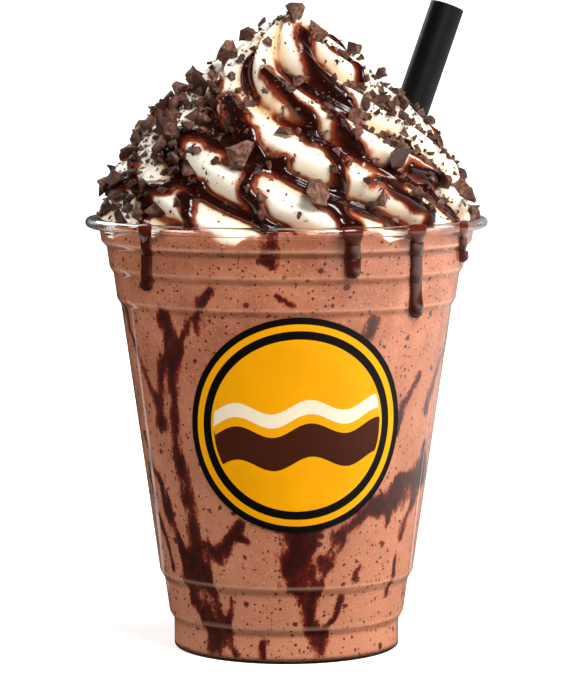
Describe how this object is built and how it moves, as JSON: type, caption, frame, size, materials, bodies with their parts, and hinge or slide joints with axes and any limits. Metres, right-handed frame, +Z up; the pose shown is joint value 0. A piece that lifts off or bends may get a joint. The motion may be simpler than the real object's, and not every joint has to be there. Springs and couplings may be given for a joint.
{
  "type": "chocolate milkshake",
  "caption": "Chocolate milkshake in a clear tapered plastic cup with stepped walls and a rolled rim, topped with swirled cream, chocolate sauce and chunks, with a black straw.",
  "frame": {"origin": "middle of the cup's foot, on the surface it stands on, on the cup's axis", "axes": "+Z up along the cup's axis; -Y the front, which the badge and the longest drips face; +X the side that the straw leans to"},
  "size_m": [0.0979, 0.098, 0.158],
  "materials": {
    "clear_cup": "clear, smooth, glossy thin plastic",
    "chocolate_shake": "smooth milky brown drink with darker streaks of sauce",
    "whipped_cream": "soft off-white cream, slightly moist",
    "black_straw": "black, satin",
    "chocolate_sauce": "very glossy, thick dark brown sauce",
    "dark_chocolate": "broken chocolate, dull with slightly shiny edges"
  },
  "bodies": {
    "root": {"cup": "clear_cup", "milkshake": "chocolate_shake", "cream": "whipped_cream", "straw": "black_straw", "sauce_drip_1": "chocolate_sauce", "sauce_drip_2": "chocolate_sauce", "sauce_drip_3": "chocolate_sauce", "sauce_drip_4": "chocolate_sauce", "sauce_drip_5": "chocolate_sauce", "sauce_drip_6": "chocolate_sauce", "sauce_drip_7": "chocolate_sauce", "chocolate_chunk_01": "dark_chocolate", "chocolate_chunk_02": "dark_chocolate", "chocolate_chunk_03": "dark_chocolate", "chocolate_chunk_04": "dark_chocolate", "chocolate_chunk_05": "dark_chocolate", "chocolate_chunk_06": "dark_chocolate", "chocolate_chunk_07": "dark_chocolate", "chocolate_chunk_08": "dark_chocolate", "chocolate_chunk_09": "dark_chocolate", "chocolate_chunk_10": "dark_chocolate", "chocolate_chunk_11": "dark_chocolate", "chocolate_chunk_12": "dark_chocolate", "chocolate_chunk_13": "dark_chocolate", "chocolate_chunk_14": "dark_chocolate", "chocolate_chunk_15": "dark_chocolate", "chocolate_chunk_16": "dark_chocolate", "chocolate_chunk_17": "dark_chocolate", "chocolate_chunk_18": "dark_chocolate", "chocolate_chunk_19": "dark_chocolate", "chocolate_chunk_20": "dark_chocolate", "chocolate_chunk_21": "dark_chocolate", "chocolate_chunk_22": "dark_chocolate", "chocolate_chunk_23": "dark_chocolate"}
  },
  "joints": []
}
